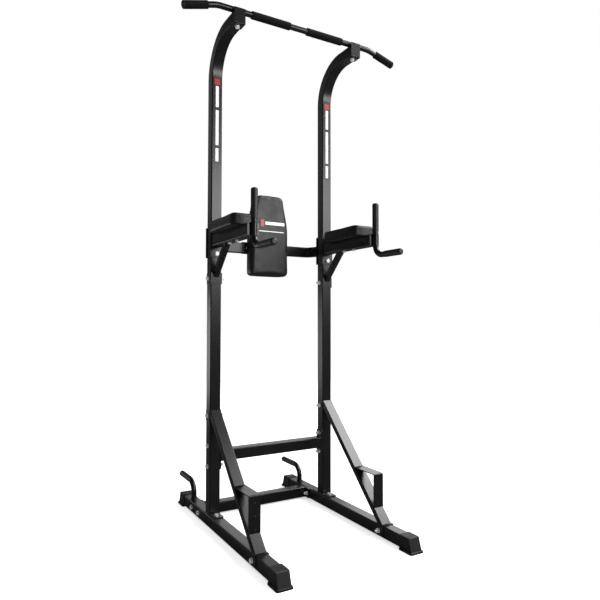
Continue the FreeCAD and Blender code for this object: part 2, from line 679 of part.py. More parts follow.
def makeBarGrips():
    for side, sign in (("left", "-"), ("right", "")):
        body = newBody(f"inner_bar_grip_{side}", y="uprightY - barY")
        sketch = newSketch(body, "YZ_Plane", f"{sign}(innerGripIn + innerGripOut)/2")
        addCircles(sketch, [("0", "barZ")], "foamTube")
        addCircles(sketch, [("0", "barZ")], "barTube + fitGap")
        pad(body, sketch, "innerGripOut - innerGripIn")
        fillet(body, "foamRound", lambda edge: near(edge.Length, "foamTube*pi"))
    for side, sign in (("left", -1), ("right", 1)):
        body = newBody(f"outer_bar_grip_{side}", f"{sign}*barBendX", "uprightY - barY")
        tiltPlacement(body, sign)
        sketch = newSketch(body, "YZ_Plane", "(outerGripIn + barSlope)/2")
        addCircles(sketch, [("0", "0")], "foamTube")
        addCircles(sketch, [("0", "0")], "barTube + fitGap")
        pad(body, sketch, "barSlope - outerGripIn")
        fillet(body, "foamRound", lambda edge: near(edge.Length, "foamTube*pi") and
               near(edge.CenterOfMass.x, "outerGripIn"))


def tiltPlacement(body, sign):
    """Turns the body's X axis down the bar's bent end on one side."""
    turn = FreeCAD.Rotation(FreeCAD.Vector(0, 0, 1), 0 if sign > 0 else 180)
    tilt = FreeCAD.Rotation(FreeCAD.Vector(0, 1, 0), sign * number("barDroop"))
    body.Placement.Rotation = tilt * turn
    bind(body, "Placement.Base.z", "barZ")


def makeBarCap(label, sign):
    """Domed cap with a plug that fits inside the bar's end."""
    body = newBody(label, f"{sign}*barBendX", "uprightY - barY")
    tiltPlacement(body, sign)
    disc(body, "YZ_Plane", "barSlope + fitGap + capThick/2", "capThick", ("0", "0"), "foamTube")
    fillet(body, "capThick - 1", lambda edge: near(edge.CenterOfMass.x,
                                                   "barSlope + fitGap + capThick"))
    disc(body, "YZ_Plane", "barSlope + fitGap - capPlug/2", "capPlug", ("0", "0"),
         "barTube - 2*pullWall - fitGap")


def makeBarBracket(label, x):
    """Bent plate that closes the tube's end and cradles the bar."""
    body = newBody(label, x)
    under = "topZ - tubeDeep/2"
    slab(body, "YZ_Plane", "0", "tubeWide",
         [("-(topReach + thinPlate)", f"{under} - thinPlate"),
          ("-bracketRear", f"{under} - thinPlate"), ("-bracketRear", under),
          ("-topReach", under), ("-topReach", "barZ"), ("-(topReach + thinPlate)", "barZ")])
    fillet(body, "thinEdge", lambda edge: runsAlong(edge, 0) and
           near(edge.CenterOfMass.y, "-(topReach + thinPlate)") and
           near(edge.CenterOfMass.z, f"{under} - thinPlate"))
    drill(body, "XY_Plane", [("0", "-barY")], "boltHole", f"{under} - thinPlate/2", "3*thinPlate")


def makePushupHandle(side, x):
    """Bent handle welded on the rail, and its rubber grip."""
    body = newBody(f"pushup_handle_{side}", x)
    section = newSketch(body, "XY_Plane", railTop)
    addCircles(section, [("0", "pushY")], "barTube")
    addCircles(section, [("0", "pushY")], "barTube - 2*barWall")
    path = newSketch(body, "YZ_Plane")
    addSpine(path, ("pushY", railTop), ("pushY", "pushZ"), (0, 1), (1, 0), "90", "pushBend",
             "pushReach - pushY")
    sweep(body, section, path)
    sketch = newSketch(body, "XY_Plane", f"{railTop} + thinPlate/2")
    addCircles(sketch, [("0", "pushY")], "collarWide")
    addCircles(sketch, [("0", "pushY")], "barTube - 1")
    pad(body, sketch, "thinPlate")
    fillet(body, "thinEdge", lambda edge: near(edge.Length, "collarWide*pi") and
           near(edge.CenterOfMass.z, f"{railTop} + thinPlate"))

    body = newBody(f"pushup_grip_{side}", x)
    closedGrip(body, "XZ_Plane", ("0", "pushZ"), "pushY + pushBend + 1", "pushReach + gripEnd", 1)


# --------------------------------------------------------------- fasteners

# size: across flats, head height, shank diameter, washer diameter and thickness, nut height
boltSizes = {"M10": (17, 6.4, 10, 21, 2, 8), "M8": (13, 5.3, 8, 16, 1.6, 6.5)}
# run of the chamfer on a hexagon's corners for each unit of height
cornerSlope = 1.7
# play on the radius of a nut's bore, a washer's hole and an insert's bore
nutPlay, washerPlay, insertPlay = 0.05, 0.25, -0.2


def hexagon(label, across, height):
    """Hexagonal prism whose outer corners are chamfered by a cone."""
    prism = doc.addObject("Part::Prism", label + "Prism")
    prism.Polygon = 6
    prism.Circumradius = across / math.sqrt(3)
    prism.Height = height
    cone = doc.addObject("Part::Cone", label + "Cone")
    cone.Radius2 = across / 2
    cone.Radius1 = across / 2 + height * cornerSlope
    cone.Height = height
    result = doc.addObject("Part::Common", label)
    result.Base = prism
    result.Tool = cone
    return result


def cylinder(label, radius, height, start=0):
    result = doc.addObject("Part::Cylinder", label)
    result.Radius = radius
    result.Height = height
    result.Placement.Base.z = start
    return result


def templates(size, length):
    """Bolt along +Z from under its head at z = 0, with its washer and its nut."""
    across, head, shank, washerWide, washerThick, nutHigh = boltSizes[size]
    name = f"{size}x{length}"
    top = hexagon(name + "Head", across, head)
    top.Placement = FreeCAD.Placement(FreeCAD.Vector(0, 0, 0),
                                      FreeCAD.Rotation(FreeCAD.Vector(1, 0, 0), 180))
    rod = cylinder(name + "Shank", shank / 2, length)
    bolt = doc.addObject("Part::Fuse", name)
    bolt.Base = top
    bolt.Tool = rod
    bore = cylinder(name + "NutBore", shank / 2 + nutPlay, 2 * nutHigh, -nutHigh / 2)
    nut = doc.addObject("Part::Cut", name + "Nut")
    nut.Base = hexagon(name + "NutBody", across, nutHigh)
    nut.Tool = bore
    ring = cylinder(name + "Ring", washerWide / 2, washerThick)
    hole = cylinder(name + "RingHole", shank / 2 + washerPlay, 3 * washerThick, -washerThick)
    washer = doc.addObject("Part::Cut", name + "Washer")
    washer.Base = ring
    washer.Tool = hole
    doc.recompute()
    return bolt, nut, washer


def pointing(x, y, z, direction):
    """Placement at a point with local +Z turned along direction."""
    turn = FreeCAD.Rotation(FreeCAD.Vector(0, 0, 1), FreeCAD.Vector(*direction))
    return FreeCAD.Placement(FreeCAD.Vector(x, y, z), turn)


class FastenerGroups:
    """Collects placed copies of the templates, one list for each node."""

    def __init__(self):
        self.shapes = {}

    def add(self, node, template, placement):
        copy = template.Shape.copy()
        copy.Placement = placement.multiply(copy.Placement)
        self.shapes.setdefault(node, []).append(copy)

    def bolt(self, node, size, length, start, direction, grip, nut=True):
        """Head and washer at start, the shank along direction, a nut past the grip."""
        bolt, nutShape, washer = self.parts[(size, length)]
        along = FreeCAD.Vector(*direction)
        thick = boltSizes[size][4]
        washers, nuts = size.lower() + "_washers", size.lower() + "_nuts"
        at = FreeCAD.Vector(*start)
        self.add(washers, washer, pointing(*(at - along * thick), direction))
        self.add(node, bolt, pointing(*(at - along * thick), direction))
        if nut:
            self.add(washers, washer, pointing(*(at + along * grip), direction))
            self.add(nuts, nutShape, pointing(*(at + along * (grip + thick)), direction))

    def finish(self):
        for node, shapes in self.shapes.items():
            feature = doc.addObject("Part::Feature", node)
            feature.Label = node
            feature.Shape = Part.makeCompound(shapes)
            nodes.append(feature)


def makeFasteners():
    group = FastenerGroups()
    kinds = [("M10", 75), ("M10", 65), ("M10", 25), ("M8", 60), ("M8", 42)]
    group.parts = {kind: templates(*kind) for kind in kinds}
    upX, upY, wide = number("uprightX"), number("uprightY"), number("tubeWide")
    railZ, plate, thin = number(railMiddle), number("plate"), number("thinPlate")
    for sign in (-1, 1):
        inward = (-sign, 0, 0)
        face = sign * (upX + wide / 2)
        for step in (-1, 1):
            group.bolt("cross_tube_bolts", "M10", 75,
                       (face, upY, number("beamZ") + step * number("beamBolt")), inward,
                       wide + plate)
            group.bolt("cross_tube_bolts", "M10", 75,
                       (face, upY + number("crossY") + step * number("flangeBolt"), railZ),
                       inward, wide + plate)
        outer = sign * (upX + wide / 2 + thin)
        for y, z in ((0, number("clevisZ")), (0, number("strutBoltZ")),
                     (-number("saddleY"), railZ)):
            group.bolt("bracket_bolts", "M10", 75, (outer, upY + y, z), inward, wide + 2 * thin)
        front = upY - number("tubeDeep") / 2 - plate
        for height in ("armBoltLow", "armBoltHigh"):
            group.bolt("arm_plate_bolts", "M10", 75, (sign * upX, front, number(height)),
                       (0, 1, 0), number("tubeDeep") + 2 * plate)
        for y in (-number("footBolt"), number("footBolt")):
            group.bolt("foot_screws", "M10", 25, (sign * upX, upY + y, number(railTop) + plate),
                       (0, 0, -1), 0, nut=False)
            nutZ = number(railTop) - number("tubeWall")
            group.add("m10_nuts", group.parts[("M10", 25)][1],
                      pointing(sign * upX, upY + y, nutZ, (0, 0, -1)))
        under = number("topZ") - number("tubeDeep") / 2 - thin
        group.bolt("bar_bolts", "M10", 65, (sign * upX, upY - number("barY"), under), (0, 0, 1),
                   0, nut=False)
        for y in (number("armBoltNear"), number("armBoltFar")):
            group.bolt("armrest_bolts", "M8", 60, (sign * upX, upY - y, number("armBottom")),
                       (0, 0, 1), 0, nut=False)
        barRear = upY + number("barBackY") + number("backBarDeep") / 2
        for offset in (number("backBoltIn"), number("backBoltOut")):
            group.bolt("backrest_bolts", "M8", 42, (sign * offset, barRear, number("backBarZ")),
                       (0, -1, 0), 0, nut=False)
    group.finish()


def makeInserts():
    """Threaded inserts in the boards, one for each M8 bolt."""
    length, hide = number("insertLong"), number("insertHide")
    bore = Part.makeCylinder(number("padHole") / 2 + insertPlay, length)
    tube = Part.makeCylinder(number("insertWide") / 2, length).cut(bore)
    upX, upY = number("uprightX"), number("uprightY")
    rear = upY + number("barBackY - backBarDeep/2 - channelPlate")
    shapes = []
    for sign in (-1, 1):
        for y in (number("armBoltNear"), number("armBoltFar")):
            shapes.append((sign * upX, upY - y, number(armTop) + hide, (0, 0, 1)))
        for offset in (number("backBoltIn"), number("backBoltOut")):
            shapes.append((sign * offset, rear - hide, number("backBarZ"), (0, -1, 0)))
    feature = doc.addObject("Part::Feature", "board_inserts")
    feature.Label = "board_inserts"
    copies = []
    for x, y, z, direction in shapes:
        copy = tube.copy()
        copy.Placement = pointing(x, y, z, direction)
        copies.append(copy)
    feature.Shape = Part.makeCompound(copies)
    nodes.append(feature)


# ------------------------------------------------------------------- build

for side, x in (("left", "-uprightX"), ("right", "uprightX")):
    makeRail(f"base_rail_{side}", x)
    makeBoot(f"rail_boot_front_{side}", x, "-bootFront", False)
    makeBoot(f"rail_boot_rear_{side}", x, "bootRear", True)
    makeLowerUpright(f"lower_upright_{side}", x)
    makeUpperUpright(f"upper_upright_{side}", x)
    makeSleeve(f"splice_sleeve_{side}", x)
    makeBrace(f"front_brace_{side}", x)
    makeStep(f"step_plate_{side}", x)
    makeArm(f"dip_arm_{side}", x)
    makeStrut(f"arm_strut_{side}", x)
    makeArmrest(side, x)
    makeHandle(side, x)
    makeBarBracket(f"bar_bracket_{side}", x)
    makePushupHandle(side, x)
makeRearTube()
makeCrossbeam()
makeBackrestBar()
makeBackrestChannel()
makeBackrest()
makePullupBar()
makeBarGrips()
makeBarCap("pullup_bar_cap_left", -1)
makeBarCap("pullup_bar_cap_right", 1)
makeFasteners()
makeInserts()

doc.recompute()
for item in doc.Objects:
    if "Invalid" in item.State or "Error" in item.State:
        raise RuntimeError(f"{item.Label} failed: {item.State}")
for node in nodes:
    if node.Shape.isNull() or not node.Shape.isValid() or node.Shape.Volume <= 0:
        raise RuntimeError(f"{node.Label} has no valid solid")

os.makedirs("parts", exist_ok=True)
for node in nodes:
    node.Shape.exportStep(f"parts/{node.Label}.step")
whole = Part.makeCompound([node.Shape for node in nodes]).BoundBox
print(f"{len(nodes)} nodes, box {whole.XMin:.1f} {whole.YMin:.1f} {whole.ZMin:.1f} to "
      f"{whole.XMax:.1f} {whole.YMax:.1f} {whole.ZMax:.1f}")
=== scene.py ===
import json
import math

import bmesh
import bpy
from mathutils import Matrix, Vector


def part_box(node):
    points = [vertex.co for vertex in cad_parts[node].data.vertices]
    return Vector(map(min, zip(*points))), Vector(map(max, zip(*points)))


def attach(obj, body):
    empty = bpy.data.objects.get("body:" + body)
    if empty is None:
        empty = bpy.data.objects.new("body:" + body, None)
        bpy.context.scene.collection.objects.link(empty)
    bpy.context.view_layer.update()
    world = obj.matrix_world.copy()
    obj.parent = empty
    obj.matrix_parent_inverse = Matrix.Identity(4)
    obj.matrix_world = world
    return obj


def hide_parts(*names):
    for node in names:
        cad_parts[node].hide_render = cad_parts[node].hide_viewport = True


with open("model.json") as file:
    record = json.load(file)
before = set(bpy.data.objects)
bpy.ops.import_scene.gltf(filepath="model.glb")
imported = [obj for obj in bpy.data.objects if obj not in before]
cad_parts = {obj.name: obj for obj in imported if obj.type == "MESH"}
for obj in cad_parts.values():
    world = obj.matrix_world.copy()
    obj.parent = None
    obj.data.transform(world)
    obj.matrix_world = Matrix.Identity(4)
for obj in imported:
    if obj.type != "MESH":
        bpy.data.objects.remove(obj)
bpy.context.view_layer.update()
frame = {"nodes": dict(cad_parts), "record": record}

# power tower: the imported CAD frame, with upholstered pads, foam sleeves, weld beads,
# plain printed labels and their finishes; metres, +Z up, the user stands at -Y

nodes = frame["nodes"]
mm = 0.001
sideSigns = {"left": -1, "right": 1}


def deselectAll():
    if bpy.context.object and bpy.context.object.mode != "OBJECT":
        bpy.ops.object.mode_set(mode="OBJECT")
    bpy.ops.object.select_all(action="DESELECT")


def makeActive(obj):
    deselectAll()
    obj.select_set(True)
    bpy.context.view_layer.objects.active = obj


def applyPlace(obj):
    makeActive(obj)
    bpy.ops.object.transform_apply(location=True, rotation=True, scale=True)


def applyModifiers(obj):
    makeActive(obj)
    for modifier in list(obj.modifiers):
        bpy.ops.object.modifier_apply(modifier=modifier.name)


def selectParts(obj, kind, chosen):
    # goes into edit mode with only the faces or edges that the test accepts selected
    makeActive(obj)
    bpy.ops.object.mode_set(mode="EDIT")
    bpy.ops.mesh.select_mode(type=kind)
    bpy.ops.mesh.select_all(action="DESELECT")
    mesh = bmesh.from_edit_mesh(obj.data)
    for part in mesh.faces if kind == "FACE" else mesh.edges:
        part.select_set(bool(chosen(part)))
    bmesh.update_edit_mesh(obj.data)


def bevelEdges(obj, radius, segments, chosen):
    selectParts(obj, "EDGE", chosen)
    bpy.ops.mesh.bevel(offset=radius, segments=segments, affect="EDGES")
    bpy.ops.object.mode_set(mode="OBJECT")


def addCube(name, centre, size):
    deselectAll()
    bpy.ops.mesh.primitive_cube_add(size=1, location=centre)
    obj = bpy.context.object
    obj.name = name
    obj.scale = size
    applyPlace(obj)
    return obj


def finishPiece(obj, material, smoothAngle=35):
    # modifiers and place applied, finish given, riding on the one rigid body
    applyModifiers(obj)
    applyPlace(obj)
    bpy.ops.object.shade_smooth_by_angle(angle=math.radians(smoothAngle))
    applyModifiers(obj)
    paint(obj, material)
    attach(obj, "root")
    deselectAll()


def paint(obj, material):
    obj.data.materials.clear()
    obj.data.materials.append(material)


def hexColour(text):
    # sRGB hex to the linear values that shaders use
    linear = []
    for start in (0, 2, 4):
        value = int(text[start:start + 2], 16) / 255
        linear.append(value / 12.92 if value <= 0.04045 else ((value + 0.055) / 1.055) ** 2.4)
    return (*linear, 1.0)


def grey(value):
    return (value, value, value, 1.0)


def perMm(size):
    # texture scale for a pattern whose repeat is size millimetres
    return 1000 / size


def addNode(tree, kind, links=None, values=None, stops=None, **settings):
    # one node with its settings, values, incoming links and, on a ramp, its two colours
    node = tree.nodes.new(kind)
    for name, value in settings.items():
        setattr(node, name, value)
    for socket, value in (values or {}).items():
        node.inputs[socket].default_value = value
    for socket, source in (links or {}).items():
        tree.links.new(source, node.inputs[socket])
    for element, (position, colour) in zip(node.color_ramp.elements if stops else (), stops or ()):
        element.position = position
        element.color = colour
    return node


def newMaterial(name):
    material = bpy.data.materials.new(name)
    material.use_nodes = True
    tree = material.node_tree
    coords = addNode(tree, "ShaderNodeTexCoord").outputs["Object"]
    return material, tree, tree.nodes["Principled BSDF"], coords


def connectFinish(tree, shader, tone, sheen=None, bump=None):
    # links what a finish has: its colour, and its roughness and relief if they vary
    tree.links.new(tone.outputs["Color"], shader.inputs["Base Color"])
    if sheen:
        tree.links.new(sheen.outputs["Color"], shader.inputs["Roughness"])
    if bump:
        tree.links.new(bump.outputs["Normal"], shader.inputs["Normal"])


def satinPowderCoat():
    # polyester powder baked on steel: satin black, fine orange peel, a faint cloudiness;
    # the peel is about 1 mm across, drawn at 2 mm so that it shows
    coat = {"dark": "070708", "light": "0C0C0D", "roughLow": 0.28, "roughHigh": 0.32, "peel": 2.0}
    material, tree, shader, coords = newMaterial("satin black powder coat")
    cloud = addNode(tree, "ShaderNodeTexNoise", {"Vector": coords},
                    {"Scale": perMm(140), "Detail": 3.0})
    dust = addNode(tree, "ShaderNodeTexNoise", {"Vector": coords},
                   {"Scale": perMm(9), "Detail": 6.0})
    peel = addNode(tree, "ShaderNodeTexNoise", {"Vector": coords},
                   {"Scale": perMm(coat["peel"]), "Detail": 2.0})
    tone = addNode(tree, "ShaderNodeValToRGB", {"Fac": cloud.outputs["Fac"]},
                   stops=[(0.3, hexColour(coat["dark"])), (0.7, hexColour(coat["light"]))])
    sheen = addNode(tree, "ShaderNodeValToRGB", {"Fac": dust.outputs["Fac"]},
                    stops=[(0.3, grey(coat["roughLow"])), (0.7, grey(coat["roughHigh"]))])
    bump = addNode(tree, "ShaderNodeBump", {"Height": peel.outputs["Fac"]},
                   {"Strength": 0.05, "Distance": 0.0002})
    connectFinish(tree, shader, tone, sheen, bump)
    shader.inputs["IOR"].default_value = 1.5
    return material


def paintedWeld():
    # weld seam under the same powder: ripples 2 mm apart that the paint softens
    material, tree, shader, coords = newMaterial("powder coated weld")
    ripple = addNode(tree, "ShaderNodeTexNoise", {"Vector": coords},
                     {"Scale": perMm(2.2), "Detail": 3.0})
    tone = addNode(tree, "ShaderNodeValToRGB", {"Fac": ripple.outputs["Fac"]},
                   stops=[(0.3, hexColour("0A0A0B")), (0.7, hexColour("121213"))])
    bump = addNode(tree, "ShaderNodeBump", {"Height": ripple.outputs["Fac"]},
                   {"Strength": 0.6, "Distance": 0.0006})
    connectFinish(tree, shader, tone, bump=bump)
    shader.inputs["Roughness"].default_value = 0.36
    return material


def brightZinc():
    # bright electroplated zinc on cold-headed steel: bluish, with fine forming marks;
    # the clear passivation film over it scatters part of the light, so it isn't all metallic
    plating = {"dull": "C4C8CC", "bright": "ECEEF0", "marks": 0.8}
    material, tree, shader, coords = newMaterial("bright zinc plating")
    cloud = addNode(tree, "ShaderNodeTexNoise", {"Vector": coords},
                    {"Scale": perMm(6), "Detail": 4.0})
    marks = addNode(tree, "ShaderNodeTexNoise", {"Vector": coords},
                    {"Scale": perMm(plating["marks"]), "Detail": 3.0})
    tone = addNode(tree, "ShaderNodeValToRGB", {"Fac": cloud.outputs["Fac"]},
                   stops=[(0.3, hexColour(plating["dull"])), (0.7, hexColour(plating["bright"]))])
    sheen = addNode(tree, "ShaderNodeValToRGB", {"Fac": marks.outputs["Fac"]},
                    stops=[(0.3, grey(0.45)), (0.7, grey(0.6))])
    bump = addNode(tree, "ShaderNodeBump", {"Height": marks.outputs["Fac"]},
                   {"Strength": 0.1, "Distance": 0.0001})
    connectFinish(tree, shader, tone, sheen, bump)
    shader.inputs["Metallic"].default_value = 0.7
    return material


def mouldedRubber(name, dark, light, grain, roughness):
    # injection-moulded rubber: spark-eroded grain, matte, slightly greyed where handled
    material, tree, shader, coords = newMaterial(name)
    cloud = addNode(tree, "ShaderNodeTexNoise", {"Vector": coords},
                    {"Scale": perMm(35), "Detail": 4.0})
    pits = addNode(tree, "ShaderNodeTexVoronoi", {"Vector": coords}, {"Scale": perMm(grain)})
    tone = addNode(tree, "ShaderNodeValToRGB", {"Fac": cloud.outputs["Fac"]},
                   stops=[(0.3, hexColour(dark)), (0.7, hexColour(light))])
    sheen = addNode(tree, "ShaderNodeValToRGB", {"Fac": cloud.outputs["Fac"]},
                    stops=[(0.3, grey(roughness - 0.06)), (0.7, grey(roughness + 0.08))])
    bump = addNode(tree, "ShaderNodeBump", {"Height": pits.outputs["Distance"]},
                   {"Strength": 0.25, "Distance": 0.0003})
    connectFinish(tree, shader, tone, sheen, bump)
    shader.inputs["IOR"].default_value = 1.52
    return material


def nitrileFoam():
    # moulded nitrile foam: matte open skin with 0.8 mm cells, drawn at 1.6 mm so that they show
    cell = 1.6
    material, tree, shader, coords = newMaterial("nitrile grip foam")
    cells = addNode(tree, "ShaderNodeTexVoronoi", {"Vector": coords}, {"Scale": perMm(cell)})
    worn = addNode(tree, "ShaderNodeTexNoise", {"Vector": coords},
                   {"Scale": perMm(28), "Detail": 5.0})
    tone = addNode(tree, "ShaderNodeValToRGB", {"Fac": worn.outputs["Fac"]},
                   stops=[(0.3, hexColour("040404")), (0.7, hexColour("0A0A0B"))])
    sheen = addNode(tree, "ShaderNodeValToRGB", {"Fac": worn.outputs["Fac"]},
                    stops=[(0.3, grey(0.78)), (0.7, grey(0.92))])
    bump = addNode(tree, "ShaderNodeBump", {"Height": cells.outputs["Distance"]},
                   {"Strength": 0.5, "Distance": 0.0004})
    connectFinish(tree, shader, tone, sheen, bump)
    shader.inputs["Specular IOR Level"].default_value = 0.2
    return material


def upholsteryVinyl():
    # calendered vinyl: embossed leather grain 1.6 mm across, low sheen, soft tonal drift
    vinyl = {"dark": "080809", "light": "0F0F10", "grain": 1.6, "warp": 0.6, "roughLow": 0.36,
             "roughHigh": 0.48}
    material, tree, shader, coords = newMaterial("black upholstery vinyl")
    warp = addNode(tree, "ShaderNodeTexNoise", {"Vector": coords},
                   {"Scale": perMm(5), "Detail": 2.0})
    drift = addNode(tree, "ShaderNodeVectorMath", {0: warp.outputs["Color"]},
                    {"Scale": vinyl["warp"] * mm}, operation="SCALE")
    bent = addNode(tree, "ShaderNodeVectorMath", {0: coords, 1: drift.outputs["Vector"]})
    grain = addNode(tree, "ShaderNodeTexVoronoi", {"Vector": bent.outputs["Vector"]},
                    {"Scale": perMm(vinyl["grain"])}, feature="DISTANCE_TO_EDGE")
    soft = addNode(tree, "ShaderNodeTexNoise", {"Vector": coords},
                   {"Scale": perMm(45), "Detail": 3.0})
    pores = addNode(tree, "ShaderNodeValToRGB", {"Fac": grain.outputs["Distance"]},
                    stops=[(0.0, grey(0.0)), (0.18, grey(1.0))])
    tone = addNode(tree, "ShaderNodeValToRGB", {"Fac": soft.outputs["Fac"]},
                   stops=[(0.3, hexColour(vinyl["dark"])), (0.7, hexColour(vinyl["light"]))])
    sheen = addNode(tree, "ShaderNodeValToRGB", {"Fac": soft.outputs["Fac"]},
                    stops=[(0.3, grey(vinyl["roughLow"])), (0.7, grey(vinyl["roughHigh"]))])
    bump = addNode(tree, "ShaderNodeBump", {"Height": pores.outputs["Color"]},
                   {"Strength": 0.22, "Distance": 0.00025})
    connectFinish(tree, shader, tone, sheen, bump)
    shader.inputs["IOR"].default_value = 1.5
    return material


def polyesterThread():
    # bonded polyester thread: twisted plies that break up its sheen
    material, tree, shader, coords = newMaterial("bonded polyester thread")
    plies = addNode(tree, "ShaderNodeTexWave", {"Vector": coords},
                    {"Scale": perMm(4), "Distortion": 1.0})
    tone = addNode(tree, "ShaderNodeValToRGB", {"Fac": plies.outputs["Fac"]},
                   stops=[(0.2, hexColour("151517")), (0.8, hexColour("2A2A2D"))])
    connectFinish(tree, shader, tone)
    shader.inputs["Roughness"].default_value = 0.7
    return material


def screenPrint(name, low, high):
    # screen-printed vinyl film: flat ink with a slight mottle
    material, tree, shader, coords = newMaterial(name)
    mottle = addNode(tree, "ShaderNodeTexNoise", {"Vector": coords},
                     {"Scale": perMm(12), "Detail": 5.0})
    tone = addNode(tree, "ShaderNodeValToRGB", {"Fac": mottle.outputs["Fac"]},
                   stops=[(0.3, hexColour(low)), (0.7, hexColour(high))])
    connectFinish(tree, shader, tone)
    shader.inputs["Roughness"].default_value = 0.35
    return material


def stainedPlywood():
    # black-stained birch plywood: dull, the long grain of the veneer just visible
    material, tree, shader, coords = newMaterial("black stained plywood")
    along = addNode(tree, "ShaderNodeMapping", {"Vector": coords}, {"Scale": (1.0, 0.08, 0.6)})
    grain = addNode(tree, "ShaderNodeTexNoise", {"Vector": along.outputs["Vector"]},
                    {"Scale": perMm(7), "Detail": 8.0})
    tone = addNode(tree, "ShaderNodeValToRGB", {"Fac": grain.outputs["Fac"]},
                   stops=[(0.3, hexColour("100F0E")), (0.7, hexColour("221F1C"))])
    bump = addNode(tree, "ShaderNodeBump", {"Height": grain.outputs["Fac"]},
                   {"Strength": 0.2, "Distance": 0.0003})
    connectFinish(tree, shader, tone, bump=bump)
    shader.inputs["Roughness"].default_value = 0.75
    return material


powder = satinPowderCoat()
weldPaint = paintedWeld()
zinc = brightZinc()
bootRubber = mouldedRubber("moulded boot rubber", "060607", "0B0B0C", 1.4, 0.5)
gripRubber = mouldedRubber("dipped grip rubber", "0D0D0E", "141416", 1.0, 0.46)
foamSkin = nitrileFoam()
vinyl = upholsteryVinyl()
thread = polyesterThread()
labelBlack = screenPrint("black label film", "070708", "0B0B0C")
inks = {"white": screenPrint("white label ink", "D2D2D3", "E2E2E3"),
        "red": screenPrint("red label ink", "8A1C18", "98221D")}
slotFinish = {"frame_paint": powder, "zinc": zinc, "rubber": gripRubber, "foam": foamSkin,
              "vinyl": vinyl, "plywood": stainedPlywood()}
for part in frame["record"]["subparts"]:
    name = part["node"]
    paint(nodes[name], bootRubber if "boot" in name else slotFinish[part["material_slot"]])
print("finishes ready")


clothFrames = 20
# an edge lies along an axis if its ends are further apart there than longEdge, and a point
# lies on a face if it is nearer to it than touching
longEdge = 10 * mm
touching = 0.1 * mm


def inflate(obj, pad, isHeld):
    # swells the cover as foam does under stretched vinyl; the face on the board is held,
    # and no point moves further than the pad's cap
    remesh = obj.modifiers.new("Remesh", "REMESH")
    remesh.mode = "VOXEL"
    remesh.voxel_size = pad["voxel"] * mm
    applyModifiers(obj)
    held = obj.vertex_groups.new(name="held")
    held.add([v.index for v in obj.data.vertices if isHeld(v.co)], 1.0, "REPLACE")
    rest = [v.co.copy() for v in obj.data.vertices]
    cloth = obj.modifiers.new("Cloth", "CLOTH")
    cloth.settings.vertex_group_mass = "held"
    cloth.settings.use_pressure = True
    cloth.settings.uniform_pressure_force = pad["pressure"]
    cloth.settings.effector_weights.gravity = 0
    cloth.settings.tension_stiffness = pad["stretch"]
    cloth.settings.compression_stiffness = pad["stretch"]
    for step in range(1, clothFrames + 1):
        bpy.context.scene.frame_set(step)
    applyModifiers(obj)
    bpy.context.scene.frame_set(1)
    for vertex, start in zip(obj.data.vertices, rest):
        move = vertex.co - start
        limit = pad["cap"] * mm
        vertex.co = start + move.normalized() * limit * math.tanh(move.length / limit)
    smooth = obj.modifiers.new("Smooth", "SMOOTH")
    smooth.factor = 0.5
    smooth.iterations = pad["smoothing"]
    subdivide = obj.modifiers.new("Subdivision", "SUBSURF")
    subdivide.levels = 1
    subdivide.render_levels = 1
    applyModifiers(obj)
    bpy.ops.object.shade_smooth()


def finishPad(obj, node):
    paint(obj, vinyl)
    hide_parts(node)
    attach(obj, "root")


# millimetres, apart from pressure, stretch, the count of smoothing steps and fill
armPad = {"shrink": 0.5, "corner": 21, "edge": 9, "held": 6, "voxel": 4, "pressure": 1.2,
          "stretch": 40, "cap": 2.0, "smoothing": 4, "fill": 0.8}
backPad = {"shrink": 0.5, "corner": 21, "edge": 11, "held": 6, "taper": 238, "topHalf": 70,
           "taperRound": 40, "voxel": 4, "pressure": 1.2, "stretch": 40, "cap": 2.0,
           "smoothing": 4, "fill": 0.8}


def makeArmPad(side):
    low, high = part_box(f"armrest_pad_{side}")
    shrink = armPad["shrink"] * mm
    size = (high.x - low.x - 2 * shrink, high.y - low.y - 2 * shrink, high.z - low.z - shrink)
    obj = addCube(f"padded_armrest_{side}", ((low.x + high.x) / 2, (low.y + high.y) / 2,
                                             (low.z + high.z - shrink) / 2), size)
    top = high.z - shrink
    bevelEdges(obj, armPad["corner"] * mm, 8,
               lambda e: abs(e.verts[0].co.z - e.verts[1].co.z) > longEdge)
    bevelEdges(obj, armPad["edge"] * mm, 5, lambda e: all(v.co.z > top - mm for v in e.verts))
    inflate(obj, armPad, lambda co: co.z < low.z + armPad["held"] * mm)
    finishPad(obj, f"armrest_pad_{side}")
    return obj


